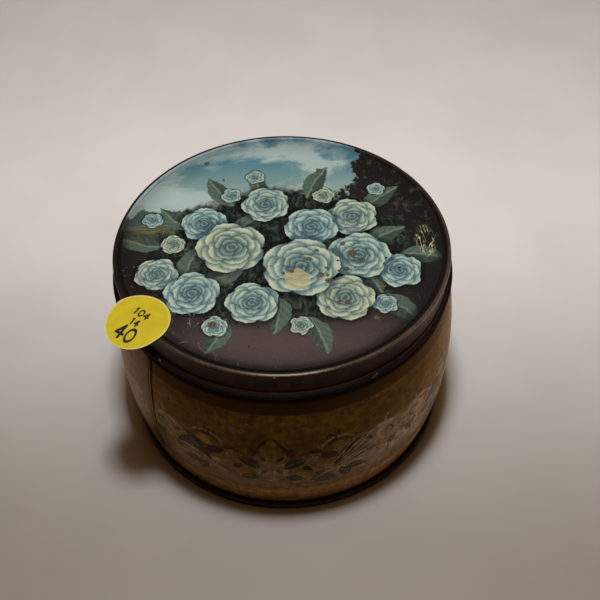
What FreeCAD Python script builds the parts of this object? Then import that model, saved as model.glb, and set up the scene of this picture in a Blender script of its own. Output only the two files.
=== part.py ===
# Round slip-lid tin: a barrel-shaped body with a lapped side seam, a seamed-on base end, a pressed lid with
# a rolled rim and a rolled lower edge, and a paper dot stuck half over the rim.
# Millimetres, +Z up. The origin is the middle of the tin's footprint, on the surface it stands on.
import FreeCAD, Part
import math
import os
import Sketcher

SHEET_ROWS = [
    # alias, size, what it measures
    ("tinHeight", 89.0, "table to the crest of the lid's rolled rim"),
    ("lidRimRadius", 67.0, "outside of the rolled rim"),
    ("sheetThickness", 0.5, "tinplate with its lacquer"),
    ("rimRollRadius", 1.3, "round section of the rolled rim"),
    ("grooveWidth", 0.8, "groove between the rim and the picture panel"),
    ("panelDrop", 0.4, "panel below the crest of the rim"),
    ("skirtInset", 0.7, "lid's side wall inside the rim"),
    ("lidDepth", 13.8, "crest of the rim to the lid's lower edge"),
    ("edgeRollHeight", 4.1, "height of the rolled lower edge"),
    ("edgeRollCrest", 2.7, "its widest level above the lid's lower edge"),
    ("edgeRollProud", 2.0, "rolled lower edge proud of the side wall"),
    ("edgeRollLip", 0.3, "flat under the rolled lower edge"),
    ("lidClearance", 0.15, "lid's side wall to the neck"),
    ("neckRounding", 0.6, "rounded top edge of the neck"),
    ("shoulderGap", 0.3, "lid's lower edge to the shoulder"),
    ("shoulderInset", 0.5, "shoulder inside the rolled lower edge"),
    ("shoulderRounding", 2.0, "rounded shoulder"),
    ("bellyBulge", 2.8, "belly outside the shoulder"),
    ("bellyHeight", 40.0, "table to the widest level of the belly"),
    ("footInset", 1.4, "body's foot inside the rolled rim"),
    ("baseHeight", 3.0, "height of the base end's seam"),
    ("baseSeamProud", 1.9, "base seam outside the foot"),
    ("baseSeamWidth", 3.2, "radial width of the base seam"),
    ("baseRounding", 0.6, "rounded edges of the base seam"),
    ("baseBeadInset", 19.6, "middle of the base's stiffening bead inside the foot"),
    ("baseBeadWidth", 5.0, "width of that bead"),
    ("baseBeadRise", 4.0, "bead's arc centre above the base's underside"),
    ("sideSeamProud", 0.35, "side seam outside the body"),
    ("sideSeamRoot", 2.0, "depth to which the seam joins the body"),
    ("sideSeamAngle", 3.6, "width of the side seam, degrees about the axis"),
    ("sideSeamAzimuth", -141.0, "side seam's place, degrees from +X"),
    ("dotRadius", 12.5, "paper dot"),
    ("dotThickness", 0.15, "thickness of the paper dot"),
    ("dotInset", 0.35, "dot's middle inside the outside of the rim"),
    ("dotDroop", 14.0, "downward bend of the dot's free half, degrees"),
    ("dotTrim", 2.0, "paper past the dot's edge before it is cut round"),
    ("dotAzimuth", -145.5, "dot's place, degrees from +X"),
]

# How a sketch names its own origin, its axes and the points of an edge.
ORIGIN = (-1, 1)
HORIZONTAL_AXIS = -1
VERTICAL_AXIS = -2
START, END, CENTRE = 1, 2, 3
NEAR = 1e-4

doc = FreeCAD.newDocument("RoundTin")
sheet = doc.addObject("Spreadsheet::Sheet", "Dimensions")
for row, (alias, size, meaning) in enumerate(SHEET_ROWS, start=1):
    sheet.set("A%d" % row, meaning)
    sheet.set("B%d" % row, str(size))
    sheet.setAlias("B%d" % row, alias)
doc.recompute()


def cell(alias):
    """Expression that reads one driving dimension."""
    return "Dimensions." + alias


def total(first, *changes):
    """Expression for a first size with others added or, after a minus sign, taken away."""
    text = first
    for change in changes:
        text += " - " + change[1:] if change.startswith("-") else " + " + change
    return text


def value(expression):
    """Present value of an expression."""
    return float(sheet.evalExpression(expression))


def plane(body, role):
    """One of the body's own origin planes."""
    return [part for part in body.Origin.OriginFeatures if part.Role == role][0]


def newBody(label):
    body = doc.addObject("PartDesign::Body", label)
    body.Label = label
    return body


def newSketch(body, name, role):
    sketch = body.newObject("Sketcher::SketchObject", name)
    sketch.AttachmentSupport = [(plane(body, role), "")]
    sketch.MapMode = "FlatFace"
    return sketch


def bind(sketch, kind, places, expression, name):
    """A sized constraint that follows the sheet."""
    number = sketch.addConstraint(Sketcher.Constraint(kind, *places, value(expression)))
    sketch.renameConstraint(number, name)
    sketch.setExpression("Constraints." + name, expression)


def place(sketch, geometry, point, radius, height, name):
    """Holds a point at a radius from the axis and a height, either of which may be zero."""
    if radius == "0":
        sketch.addConstraint(Sketcher.Constraint("PointOnObject", geometry, point, VERTICAL_AXIS))
    else:
        bind(sketch, "DistanceX", ORIGIN + (geometry, point), radius, name + "Radius")
    if height == "0":
        sketch.addConstraint(Sketcher.Constraint("PointOnObject", geometry, point, HORIZONTAL_AXIS))
    else:
        bind(sketch, "DistanceY", ORIGIN + (geometry, point), height, name + "Height")


def arcCentre(begin, end, height):
    """Centre, at a given height, of the circle through two points of the outline."""
    rise = (end[1] - height) ** 2 - (begin[1] - height) ** 2
    across = (end[0] ** 2 - begin[0] ** 2 + rise) / (2 * (end[0] - begin[0]))
    return FreeCAD.Vector(across, height, 0)


def drawArc(begin, end, centre):
    """The arc that runs anticlockwise about a centre from one point to another."""
    angles = [math.atan2(point[1] - centre.y, point[0] - centre.x) for point in (begin, end)]
    if angles[1] <= angles[0]:
        angles[1] += 2 * math.pi
    reach = math.hypot(begin[0] - centre.x, begin[1] - centre.y)
    circle = Part.Circle(centre, FreeCAD.Vector(0, 0, 1), reach)
    return Part.ArcOfCircle(circle, angles[0], angles[1])


def drawOutline(sketch, corners):
    """Closed outline through (radius, height) corners, with the metal on the left of the way round.

    A third entry makes the edge that leads to the corner an anticlockwise arc about a centre at that height.
    """
    points = [(value(corner[0]), value(corner[1])) for corner in corners]
    edges = []
    for number, corner in enumerate(corners):
        begin, end = points[number - 1], points[number]
        if len(corner) == 2:
            shape = Part.LineSegment(FreeCAD.Vector(*begin, 0), FreeCAD.Vector(*end, 0))
        else:
            shape = drawArc(begin, end, arcCentre(begin, end, value(corner[2])))
        edges.append(sketch.addGeometry(shape))
    for number, corner in enumerate(corners):
        edge = edges[number]
        sketch.addConstraint(Sketcher.Constraint("Coincident", edges[number - 1], END, edge, START))
        place(sketch, edge, END, corner[0], corner[1], "corner%d" % number)
        if len(corner) == 3:
            bind(sketch, "DistanceY", ORIGIN + (edge, CENTRE), corner[2], "centre%dHeight" % number)


def revolve(body, name, corners, degrees="360"):
    """Turns an outline about the tin's axis, and a partial turn to both sides of the XZ plane."""
    sketch = newSketch(body, name + "Outline", "XZ_Plane")
    drawOutline(sketch, corners)
    turned = body.newObject("PartDesign::Revolution", name)
    turned.Profile = sketch
    turned.ReferenceAxis = (sketch, ["V_Axis"])
    turned.setExpression("Angle", degrees)
    turned.Midplane = degrees != "360"
    sketch.Visibility = False
    return turned


def roundEdge(body, name, radius, height, rounding):
    """Rounds the circular edge at a radius and height."""
    doc.recompute()
    base = body.Tip
    edges = []
    for number, edge in enumerate(base.Shape.Edges, start=1):
        circle = edge.Curve
        if circle.TypeId != "Part::GeomCircle":
            continue
        if abs(circle.Radius - value(radius)) < NEAR and abs(circle.Center.z - value(height)) < NEAR:
            edges.append("Edge%d" % number)
    fillet = body.newObject("PartDesign::Fillet", name)
    fillet.Base = (base, edges)
    fillet.setExpression("Radius", rounding)
    return fillet


# Heights and radii that more than one piece uses.
lidEdge = total(cell("tinHeight"), "-" + cell("lidDepth"))
panelTop = total(cell("tinHeight"), "-" + cell("panelDrop"))
rollCentre = total(cell("tinHeight"), "-" + cell("rimRollRadius"))
neckTop = total(rollCentre, "-" + cell("sheetThickness"))
skirtOutside = total(cell("lidRimRadius"), "-" + cell("skirtInset"))
skirtInside = total(skirtOutside, "-" + cell("sheetThickness"))
neckRadius = total(skirtInside, "-" + cell("lidClearance"))
edgeRollRadius = total(skirtOutside, cell("edgeRollProud"))
shoulderRadius = total(edgeRollRadius, "-" + cell("shoulderInset"))
bellyRadius = total(shoulderRadius, cell("bellyBulge"))
footRadius = total(cell("lidRimRadius"), "-" + cell("footInset"))
shoulderTop = total(lidEdge, "-" + cell("shoulderGap"))
shoulderStart = total(shoulderTop, "-" + cell("shoulderRounding"))


def barrelSide(proud):
    """Outline of the barrel wall from foot to shoulder, moved out by a given expression."""
    return [
        (total(footRadius, proud), cell("baseHeight")),
        (total(bellyRadius, proud), cell("bellyHeight"), cell("bellyHeight")),
        (total(shoulderRadius, proud), shoulderStart, cell("bellyHeight")),
        (total(shoulderRadius, proud, "-" + cell("shoulderRounding")), shoulderTop, shoulderStart),
    ]


def makeTinBody():
    """The closed body, full to its neck, with the lapped seam running up its side."""
    body = newBody("tin_body")
    wall = [("0", cell("baseHeight"))] + barrelSide("0")
    neck = [(neckRadius, shoulderTop), (neckRadius, neckTop), ("0", neckTop)]
    revolve(body, "Barrel", wall + neck)
    roundEdge(body, "NeckEdge", neckRadius, neckTop, cell("neckRounding"))
    root = total(neckRadius, "-" + cell("sideSeamRoot"))
    strip = [(root, shoulderTop), (root, cell("baseHeight"))] + barrelSide(cell("sideSeamProud"))
    revolve(body, "SideSeam", strip, cell("sideSeamAngle"))
    body.setExpression("Placement.Rotation.Angle", cell("sideSeamAzimuth") + " * 1 deg")
    return body


def makeLid():
    """The pressed lid: flat panel, groove, rolled rim, side wall and rolled lower edge.

    The groove's floor is level with the middle of the rolled rim, and its underside sits on the neck.
    """
    body = newBody("lid")
    grooveOutside = total(cell("lidRimRadius"), "-2 * " + cell("rimRollRadius"))
    panelRadius = total(grooveOutside, "-" + cell("grooveWidth"))
    grooveInside = total(panelRadius, cell("grooveWidth") + " / 2")
    tuck = "sqrt(%s ^ 2 - (%s - %s) ^ 2)" % tuple(map(cell, ("rimRollRadius", "rimRollRadius", "skirtInset")))
    edgeRollMiddle = total(lidEdge, cell("edgeRollCrest"))
    underPanel = total(panelTop, "-" + cell("sheetThickness"))
    revolve(body, "PressedSheet", [
        ("0", underPanel),
        (total(panelRadius, "-" + cell("sheetThickness")), underPanel),
        (total(grooveInside, "-" + cell("sheetThickness")), neckTop),
        (skirtInside, neckTop),
        (skirtInside, lidEdge),
        (total(skirtOutside, cell("edgeRollLip")), lidEdge),
        (edgeRollRadius, edgeRollMiddle, edgeRollMiddle),
        (skirtOutside, total(lidEdge, cell("edgeRollHeight")), edgeRollMiddle),
        (skirtOutside, total(rollCentre, "-" + tuck)),
        (cell("lidRimRadius"), rollCentre, rollCentre),
        (grooveOutside, rollCentre, rollCentre),
        (grooveInside, rollCentre),
        (panelRadius, panelTop),
        ("0", panelTop),
    ])
    return body


def makeBaseEnd():
    """The base end: a seam ring that the tin stands on, round a raised base with a stiffening bead."""
    body = newBody("base_end")
    outside = total(footRadius, cell("baseSeamProud"))
    inside = total(outside, "-" + cell("baseSeamWidth"))
    underside = total(cell("baseHeight"), "-" + cell("sheetThickness"))
    beadRadius = total(footRadius, "-" + cell("baseBeadInset"))
    halfBead = cell("baseBeadWidth") + " / 2"
    rounding = cell("baseRounding")
    upperRounding = total(cell("baseHeight"), "-" + rounding)
    revolve(body, "SeamedEnd", [
        ("0", underside),
        (total(beadRadius, "-" + halfBead), underside),
        (total(beadRadius, halfBead), underside, total(underside, cell("baseBeadRise"))),
        (inside, underside),
        (inside, rounding),
        (total(inside, rounding), "0", rounding),
        (total(outside, "-" + rounding), "0"),
        (outside, rounding, rounding),
        (outside, upperRounding),
        (total(outside, "-" + rounding), cell("baseHeight"), upperRounding),
        ("0", cell("baseHeight")),
    ])
    return body


def makeDot():
    """The paper dot: flat on the lid as far as the crest of the rim, and bent down past it.

    A bent strip, drawn across the rim from the dot's middle, is cut round by a ring that covers its corners.
    """
    body = newBody("paper_dot")
    half = total(cell("dotRadius"), cell("dotTrim"))
    angle = cell("dotDroop") + " * 1 deg"
    bend = "(%s - %s + %s * tan(%s / 2))" % (cell("dotInset"), *[cell("rimRollRadius")] * 2, angle)
    fall = "(%s - %s) * tan(%s)" % (half, bend, angle)
    thickness = cell("dotThickness")
    profile = newSketch(body, "DotProfile", "XZ_Plane")
    drawOutline(profile, [
        ("-(%s)" % half, "0"),
        (bend, "0"),
        (half, "-" + fall),
        (half, "%s / cos(%s) - %s" % (thickness, angle, fall)),
        ("%s + %s * tan(%s / 2)" % (bend, thickness, angle), thickness),
        ("-(%s)" % half, thickness),
    ])
    strip = body.newObject("PartDesign::Pad", "PaperStrip")
    strip.Profile = profile
    strip.Midplane = True
    strip.setExpression("Length", "2 * (%s)" % half)
    surround = newSketch(body, "DotSurround", "XY_Plane")
    for name, radius in (("dotRadius", cell("dotRadius")), ("surroundRadius", "2 * (%s)" % half)):
        circle = Part.Circle(FreeCAD.Vector(0, 0, 0), FreeCAD.Vector(0, 0, 1), value(radius))
        edge = surround.addGeometry(circle)
        surround.addConstraint(Sketcher.Constraint("Coincident", edge, CENTRE, *ORIGIN))
        bind(surround, "Radius", (edge,), radius, name)
    cut = body.newObject("PartDesign::Pocket", "RoundCut")
    cut.Profile = surround
    cut.Type = "ThroughAll"
    cut.Midplane = True
    reach = "(" + total(cell("lidRimRadius"), "-" + cell("dotInset")) + ")"
    azimuth = cell("dotAzimuth") + " * 1 deg"
    body.setExpression("Placement.Base.x", "%s * cos(%s)" % (reach, azimuth))
    body.setExpression("Placement.Base.y", "%s * sin(%s)" % (reach, azimuth))
    body.setExpression("Placement.Base.z", cell("tinHeight"))
    body.setExpression("Placement.Rotation.Angle", azimuth)
    return body


def check(pieces):
    """Stops unless every object computed and every piece is one sound solid."""
    for thing in doc.Objects:
        if "Invalid" in thing.State or "Error" in thing.State:
            raise RuntimeError("%s did not compute: %s" % (thing.Label, thing.State))
    for piece in pieces:
        shape = piece.Shape
        if shape.isNull() or not shape.isValid() or len(shape.Solids) != 1:
            raise RuntimeError("%s is not one sound solid" % piece.Label)


pieces = [makeTinBody(), makeLid(), makeBaseEnd(), makeDot()]
doc.recompute()
check(pieces)

os.makedirs("parts", exist_ok=True)
for piece in pieces:
    piece.Shape.exportStep(os.path.join("parts", piece.Label + ".step"))
    box = piece.Shape.BoundBox
    print("%-9s volume %9.1f mm3, z %6.2f to %6.2f, x %7.2f to %6.2f, y %7.2f to %6.2f" % (
        piece.Label, piece.Shape.Volume, box.ZMin, box.ZMax, box.XMin, box.XMax, box.YMin, box.YMax))
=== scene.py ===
# Round slip-lid tin with a printed lid, a faded leaf border and a paper dot stuck half over the rim.
import math
import bmesh
import bpy
from mathutils import Matrix, Vector


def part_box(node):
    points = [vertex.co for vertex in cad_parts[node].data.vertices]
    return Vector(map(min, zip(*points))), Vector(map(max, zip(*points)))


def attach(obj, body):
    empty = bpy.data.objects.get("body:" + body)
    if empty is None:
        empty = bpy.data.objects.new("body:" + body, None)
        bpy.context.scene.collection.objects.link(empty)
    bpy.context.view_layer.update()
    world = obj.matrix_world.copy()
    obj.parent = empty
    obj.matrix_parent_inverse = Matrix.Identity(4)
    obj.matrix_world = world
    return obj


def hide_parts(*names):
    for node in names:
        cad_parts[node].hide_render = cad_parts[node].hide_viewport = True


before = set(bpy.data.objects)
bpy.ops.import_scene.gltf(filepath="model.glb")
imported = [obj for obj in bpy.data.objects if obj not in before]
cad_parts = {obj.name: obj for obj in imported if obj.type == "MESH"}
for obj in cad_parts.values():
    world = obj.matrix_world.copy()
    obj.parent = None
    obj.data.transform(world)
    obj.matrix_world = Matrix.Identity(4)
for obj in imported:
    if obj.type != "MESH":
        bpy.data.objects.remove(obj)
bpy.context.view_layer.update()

mm = 0.001
roundSteps = 360  # facets round the tin
# facets along each rounded part of an outline
arcSteps = {"lidEdge": 8, "bead": 20, "belly": 24, "upperWall": 20, "shoulder": 6, "neck": 4, "underBead": 8,
            "baseRing": 5}
joinDistance = 1e-7


# Outlines are drawn in the XZ plane and spun about the tin's axis.
class OutlinePen:
    def __init__(self, across, up):
        self.bm = bmesh.new()
        self.tip = self.bm.verts.new((across, 0, up))

    def line(self, across, up):
        nextVert = self.bm.verts.new((across, 0, up))
        self.bm.edges.new((self.tip, nextVert))
        self.tip = nextVert

    def arc(self, centreAcross, centreUp, across, up, steps):
        # turns anticlockwise, as seen with the axis on the left, to the given point
        start = math.atan2(self.tip.co.z - centreUp, self.tip.co.x - centreAcross)
        end = math.atan2(up - centreUp, across - centreAcross)
        turn = (end - start) % (2 * math.pi)
        made = bmesh.ops.spin(self.bm, geom=[self.tip], cent=(centreAcross, 0, centreUp), axis=(0, -1, 0),
                              angle=turn, steps=steps)
        self.tip = [item for item in made["geom_last"] if isinstance(item, bmesh.types.BMVert)][0]

    def spun(self, steps=roundSteps, degrees=360, start=0):
        bm = self.bm
        whole = degrees == 360
        bmesh.ops.remove_doubles(bm, verts=bm.verts, dist=joinDistance)
        turnAbout(bm, math.radians(start))
        bmesh.ops.spin(bm, geom=bm.verts[:] + bm.edges[:], cent=(0, 0, 0), axis=(0, 0, 1),
                       angle=math.radians(degrees), steps=steps, use_merge=whole)
        bmesh.ops.remove_doubles(bm, verts=bm.verts, dist=joinDistance)
        bmesh.ops.recalc_face_normals(bm, faces=bm.faces)
        return bm


def turnAbout(bm, angle):
    bmesh.ops.rotate(bm, verts=bm.verts, cent=(0, 0, 0), matrix=Matrix.Rotation(angle, 3, "Z"))


def arcMiddle(begin, end, up):
    # centre, at a given height, of the circle through two points
    rise = (end[1] - up) ** 2 - (begin[1] - up) ** 2
    return (end[0] ** 2 - begin[0] ** 2 + rise) / (2 * (end[0] - begin[0]))


def finishPiece(bm, name, node, materials, sharpDegrees=35):
    for face in bm.faces:
        face.smooth = True
    for edge in bm.edges:
        if len(edge.link_faces) == 2 and edge.calc_face_angle(0) > math.radians(sharpDegrees):
            edge.smooth = False
    mesh = bpy.data.meshes.new(name)
    bm.to_mesh(mesh)
    bm.free()
    piece = bpy.data.objects.new(name, mesh)
    bpy.context.scene.collection.objects.link(piece)
    for material in materials:
        mesh.materials.append(material)
    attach(piece, "root")
    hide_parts(node)
    print("made", name, len(mesh.polygons), "faces")
    return piece


# Node wiring: the calls add nodes and give back what they put out.
class Wiring:
    def __init__(self, tree):
        self.tree = tree

    def feed(self, value, socket):
        if isinstance(value, bpy.types.NodeSocket):
            self.tree.links.new(value, socket)
        elif isinstance(value, (tuple, list)) and len(value) == 3 and socket.type == "RGBA":
            socket.default_value = (*value, 1)
        elif value is not None:
            socket.default_value = value

    def node(self, kind, inputs=(), **settings):
        made = self.tree.nodes.new(kind)
        for name, setting in settings.items():
            setattr(made, name, setting)
        for key, value in dict(inputs).items():
            self.feed(value, made.inputs[key])
        return made

    def calc(self, operation, *values, clamp=False):
        return self.node("ShaderNodeMath", dict(enumerate(values)), operation=operation,
                         use_clamp=clamp).outputs[0]

    def times(self, first, *others):
        for other in others:
            first = self.calc("MULTIPLY", first, other)
        return first

    def plus(self, first, other):
        return self.calc("ADD", first, other)

    def minus(self, first, other):
        return self.calc("SUBTRACT", first, other)

    def most(self, first, other):
        return self.calc("MAXIMUM", first, other)

    def scaled(self, value, factor, added):
        return self.calc("MULTIPLY_ADD", value, factor, added)

    def gap(self, first, other):
        # how far apart two numbers are
        return self.calc("ABSOLUTE", self.minus(first, other))

    def degrees(self, x, y):
        return self.times(self.calc("ARCTAN2", y, x), 180 / math.pi)

    def vector(self, operation, *values, out="Vector"):
        return self.node("ShaderNodeVectorMath", dict(enumerate(values)), operation=operation).outputs[out]

    def length(self, point):
        return self.vector("LENGTH", point, out="Value")

    def turned(self, point, angle):
        return self.node("ShaderNodeVectorRotate", {"Vector": point, "Angle": angle},
                         rotation_type="Z_AXIS").outputs[0]

    def fade(self, value, low, high, toLow=0.0, toHigh=1.0):
        # smooth step from toLow at low to toHigh at high
        return self.node("ShaderNodeMapRange", dict(enumerate((value, low, high, toLow, toHigh))),
                         interpolation_type="SMOOTHSTEP").outputs[0]

    def near(self, value, middle, inner, outer, strength=1):
        # full strength within inner of the middle, none beyond outer
        return self.fade(self.gap(value, middle), inner, outer, strength, 0)

    def band(self, value, start, full, waning, end):
        # rises from start to full, and falls again from waning to end
        return self.times(self.fade(value, start, full), self.fade(value, waning, end, 1, 0))

    def mixed(self, first, share, other):
        return self.scaled(first, share, self.times(other, 1 - share))

    def blend(self, factor, below, above, mode="MIX"):
        return self.node("ShaderNodeMix", {0: factor, 6: below, 7: above}, data_type="RGBA",
                         blend_type=mode).outputs[2]

    def shade(self, colour, level):
        # a colour made lighter or darker by one number
        return self.blend(1.0, colour, self.join(level, level, level), "MULTIPLY")

    def ramp(self, factor, *stops):
        made = self.node("ShaderNodeValToRGB")
        elements = made.color_ramp.elements
        while len(elements) < len(stops):
            elements.new(1)
        for element, (place, colour) in zip(elements, stops):
            element.position = place
            element.color = (*colour, 1)
        self.feed(factor, made.inputs[0])
        return made.outputs[0]

    def noise(self, point, scale, detail=2.0, rough=0.5, distortion=0.0, out="Factor"):
        made = self.node("ShaderNodeTexNoise", {"Vector": point, "Scale": scale, "Detail": detail,
                                                "Roughness": rough, "Distortion": distortion})
        return made.outputs[0 if out == "Factor" else 1]

    def place(self, point, shift=(0, 0, 0), turn=0.0, scale=(1, 1, 1)):
        made = self.node("ShaderNodeMapping", {"Vector": point, "Location": shift,
                                               "Rotation": (0, 0, math.radians(turn)), "Scale": scale})
        return made.outputs[0]

    def split(self, point):
        return self.node("ShaderNodeSeparateXYZ", {"Vector": point}).outputs

    def join(self, x, y, z):
        made = self.node("ShaderNodeCombineXYZ", {"X": x, "Y": y, "Z": z})
        return made.outputs[0]

    def onward(self, point, value):
        # the same point, worked out only after the value, so that motifs are drawn one after another
        return self.vector("MULTIPLY_ADD", self.join(value, value, value), handOn, point)

    def group(self, name, **inputs):
        made = self.node("ShaderNodeGroup", node_tree=groups[name])
        for name, value in inputs.items():
            self.feed(value, made.inputs[name])
        return made.outputs

    def give(self, **outputs):
        # ends a node group with what it puts out
        self.node("NodeGroupOutput", outputs)
        return self.tree

    def coats(self, colour, *layers):
        # lays tones over a colour in turn, each through its own mask
        for mask, tone in layers:
            colour = self.blend(mask, colour, tone)
        return colour

    def finish(self, shader, look, colour, roughness, height, strength=0.5, **others):
        # feeds the shader: look["uniform"] holds what is the same all over, and height is in mm
        for name, value in look["uniform"].items():
            self.feed(value, shader.inputs[name])
        self.feed(colour, shader.inputs["Base Color"])
        self.feed(roughness, shader.inputs["Roughness"])
        for name, value in others.items():
            self.feed(value, shader.inputs[name])
        bump = self.node("ShaderNodeBump", {"Strength": strength, "Distance": mm, "Height": height})
        self.feed(bump.outputs[0], shader.inputs["Normal"])


handOn = (1e-9,) * 3  # far below any size that shows
# sockets of node groups that carry a point; all others carry a number
pointSockets = ("Point", "Centre", "From", "To", "Own", "Onward")


def newGroup(name, inputs, outputs):
    tree = bpy.data.node_groups.new(name, "ShaderNodeTree")
    for inOut, sockets in (("INPUT", inputs), ("OUTPUT", outputs)):
        for socketName in sockets.split():
            kind = "NodeSocketVector" if socketName in pointSockets else "NodeSocketFloat"
            tree.interface.new_socket(socketName, in_out=inOut, socket_type=kind)
    given = tree.nodes.new("NodeGroupInput").outputs
    return Wiring(tree), *(given[socketName] for socketName in inputs.split())


def newMaterial(name):
    material = bpy.data.materials.new(name)
    material.use_nodes = True
    material.node_tree.nodes.clear()
    wires = Wiring(material.node_tree)
    shader = wires.node("ShaderNodeBsdfPrincipled")
    output = wires.node("ShaderNodeOutputMaterial")
    wires.tree.links.new(shader.outputs[0], output.inputs[0])
    coords = wires.node("ShaderNodeTexCoord").outputs["Object"]
    # patterns are laid out in millimetres
    point = wires.node("ShaderNodeVectorMath", {0: coords, "Scale": 1 / mm}, operation="SCALE").outputs[0]
    return material, wires, shader, point


# Effects that several finishes share, as node groups.
def makeSpeckles():
    # ragged spots of uneven size, on a share of the cells
    wires, point, spacing, size, share = newGroup("speckles", "Point Spacing Size Share", "Mask")
    scale = wires.calc("DIVIDE", 1, spacing)
    cells = wires.node("ShaderNodeTexVoronoi", {"Vector": point, "Scale": scale}).outputs
    picks = wires.node("ShaderNodeSeparateColor", {"Color": cells["Color"]}).outputs
    width = wires.times(wires.calc("DIVIDE", size, spacing), wires.scaled(picks[1], 0.7, 0.3))
    ragged = wires.scaled(wires.noise(point, 1.6, 3), 0.9, 0.55)
    reach = wires.times(cells["Distance"], ragged)
    spot = wires.fade(wires.calc("DIVIDE", reach, width), 0.75, 1.0, 1.0, 0.0)
    return wires.give(Mask=wires.times(spot, wires.calc("LESS_THAN", picks[0], share)))


def makeHairlines():
    # fine scratches that run one way, broken into short lengths
    wires, point, turn, spacing, length, fineness, share = newGroup(
        "hairlines", "Point Turn Spacing Length Fineness Share", "Mask")
    drawn = wires.vector("DIVIDE", wires.turned(point, turn), wires.join(length, spacing, spacing))
    line = wires.near(wires.noise(drawn, 1.0, 1), 0.5, 0.0, fineness)
    elsewhere = wires.place(drawn, (7.3, 2.1, 4.4))
    broken = wires.calc("LESS_THAN", wires.noise(elsewhere, 1.7, 2), share)
    return wires.give(Mask=wires.times(line, broken))


def makeLeafAt():
    # one pointed leaf: its area, its outline, its middle rib and its lit side
    wires, point, centre, turn, length, width = newGroup(
        "leafAt", "Point Centre Turn Length Width", "Mask Outline Rib Light Onward")
    moved = wires.vector("SUBTRACT", point, centre)
    along, across, up = wires.split(wires.turned(moved, wires.times(turn, -1)))
    reach = wires.calc("DIVIDE", along, wires.times(length, 0.5))
    bend = wires.times(reach, reach, 0.22)
    side = wires.plus(wires.calc("DIVIDE", across, wires.times(width, 0.5)), bend)
    full = wires.most(wires.minus(1, wires.times(reach, reach)), 0)
    taper = wires.times(full, wires.scaled(reach, -0.25, 1))
    away = wires.calc("ABSOLUTE", side)
    inside = wires.minus(taper, away)
    veins = wires.calc("SINE", wires.times(wires.minus(reach, wires.times(away, 0.5)), 19))
    mask = wires.fade(inside, 0.0, 0.10)
    return wires.give(
        Mask=mask, Onward=wires.onward(point, mask), Outline=wires.band(inside, 0.0, 0.05, 0.20, 0.42),
        Rib=wires.times(wires.fade(away, 0.05, 0.16, 1, 0), wires.fade(inside, 0.05, 0.2)),
        Light=wires.scaled(veins, 0.10, wires.fade(side, -0.25, 0.35, 0.35, 0.75)))


def makeArcStroke():
    # a curved stroke that tapers to both ends, its middle in the direction given by Turn
    wires, point, centre, turn, radius, width, sweep = newGroup(
        "arcStroke", "Point Centre Turn Radius Width Sweep", "Mask Onward")
    turned = wires.turned(wires.vector("SUBTRACT", point, centre), wires.times(turn, -1))
    along, across, up = wires.split(turned)
    angle = wires.calc("ABSOLUTE", wires.calc("ARCTAN2", across, along))
    swing = wires.calc("DIVIDE", angle, sweep)
    taper = wires.minus(1, wires.times(swing, swing))
    half = wires.times(width, 0.5, wires.most(taper, 0.001))
    part = wires.calc("DIVIDE", wires.gap(wires.length(turned), radius), half)
    mask = wires.fade(part, 0.6, 1.0, 1.0, 0.0)
    return wires.give(Mask=mask, Onward=wires.onward(point, mask))


def makeBloomAt():
    # lays one bloom over the ones below: inside it the point is given in the bloom's own measure
    wires, point, centre, size, turn, tint, below, belowShade = newGroup(
        "bloomAt", "Point Centre Size Turn Tint Own Shade", "Own Shade Onward")
    sized = wires.vector("DIVIDE", wires.vector("SUBTRACT", point, centre), wires.join(size, size, 1))
    turned = wires.turned(sized, turn)
    along, across, up = wires.split(turned)
    angle = wires.calc("ARCTAN2", across, along)
    part = wires.calc("FRACT", wires.times(angle, outerPetals / (2 * math.pi)))
    bulge = wires.calc("POWER", wires.calc("SINE", wires.times(part, math.pi)), 0.5)
    gap = wires.minus(wires.length(turned), wires.scaled(bulge, 0.15, 0.85))
    inside = wires.calc("LESS_THAN", gap, 0)
    own = wires.node("ShaderNodeMix", {0: inside, 4: below, 5: wires.join(along, across, tint)},
                     data_type="VECTOR").outputs[1]
    shaded = wires.times(belowShade, wires.fade(gap, 0.0, 0.30, 0.35, 1.0))
    shade = wires.node("ShaderNodeMix", {0: inside, 2: shaded, 3: 1.0}, data_type="FLOAT").outputs[0]
    return wires.give(Own=own, Shade=shade, Onward=wires.onward(point, shade))


def makePetalRing():
    # one ring of overlapping petals, laid over the light of the rings outside it
    wires, reach, turns, radius, petals, start, light = newGroup(
        "petalRing", "Reach Turns Radius Petals Start Light", "Light")
    part = wires.calc("FRACT", wires.scaled(turns, petals, start))
    bulge = wires.calc("POWER", wires.calc("SINE", wires.times(part, math.pi)), 0.5)
    edge = wires.times(radius, wires.scaled(bulge, 0.20, 0.80))
    gap = wires.minus(reach, edge)
    below = wires.times(light, wires.fade(gap, 0.0, 0.20, 0.50, 1.0))
    rim = wires.fade(wires.calc("DIVIDE", reach, edge), 0.35, 0.98, 0.46, 1.0)
    petal = wires.times(rim, wires.fade(part, 0.0, 0.40, 0.66, 1.0))
    inside = wires.fade(gap, -0.022, 0.022, 1.0, 0.0)
    mixed = wires.node("ShaderNodeMix", {0: inside, 2: below, 3: petal}, data_type="FLOAT")
    return wires.give(Light=mixed.outputs[0])


# Camera: the view looks down on the lid from the front.
viewing = {"place": (0.0, -295.15 * mm, 383.30 * mm), "yaw": 1.297, "pitch": 48.067, "roll": -1.359,
           "lens": 63, "clipStart": 0.01}


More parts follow.
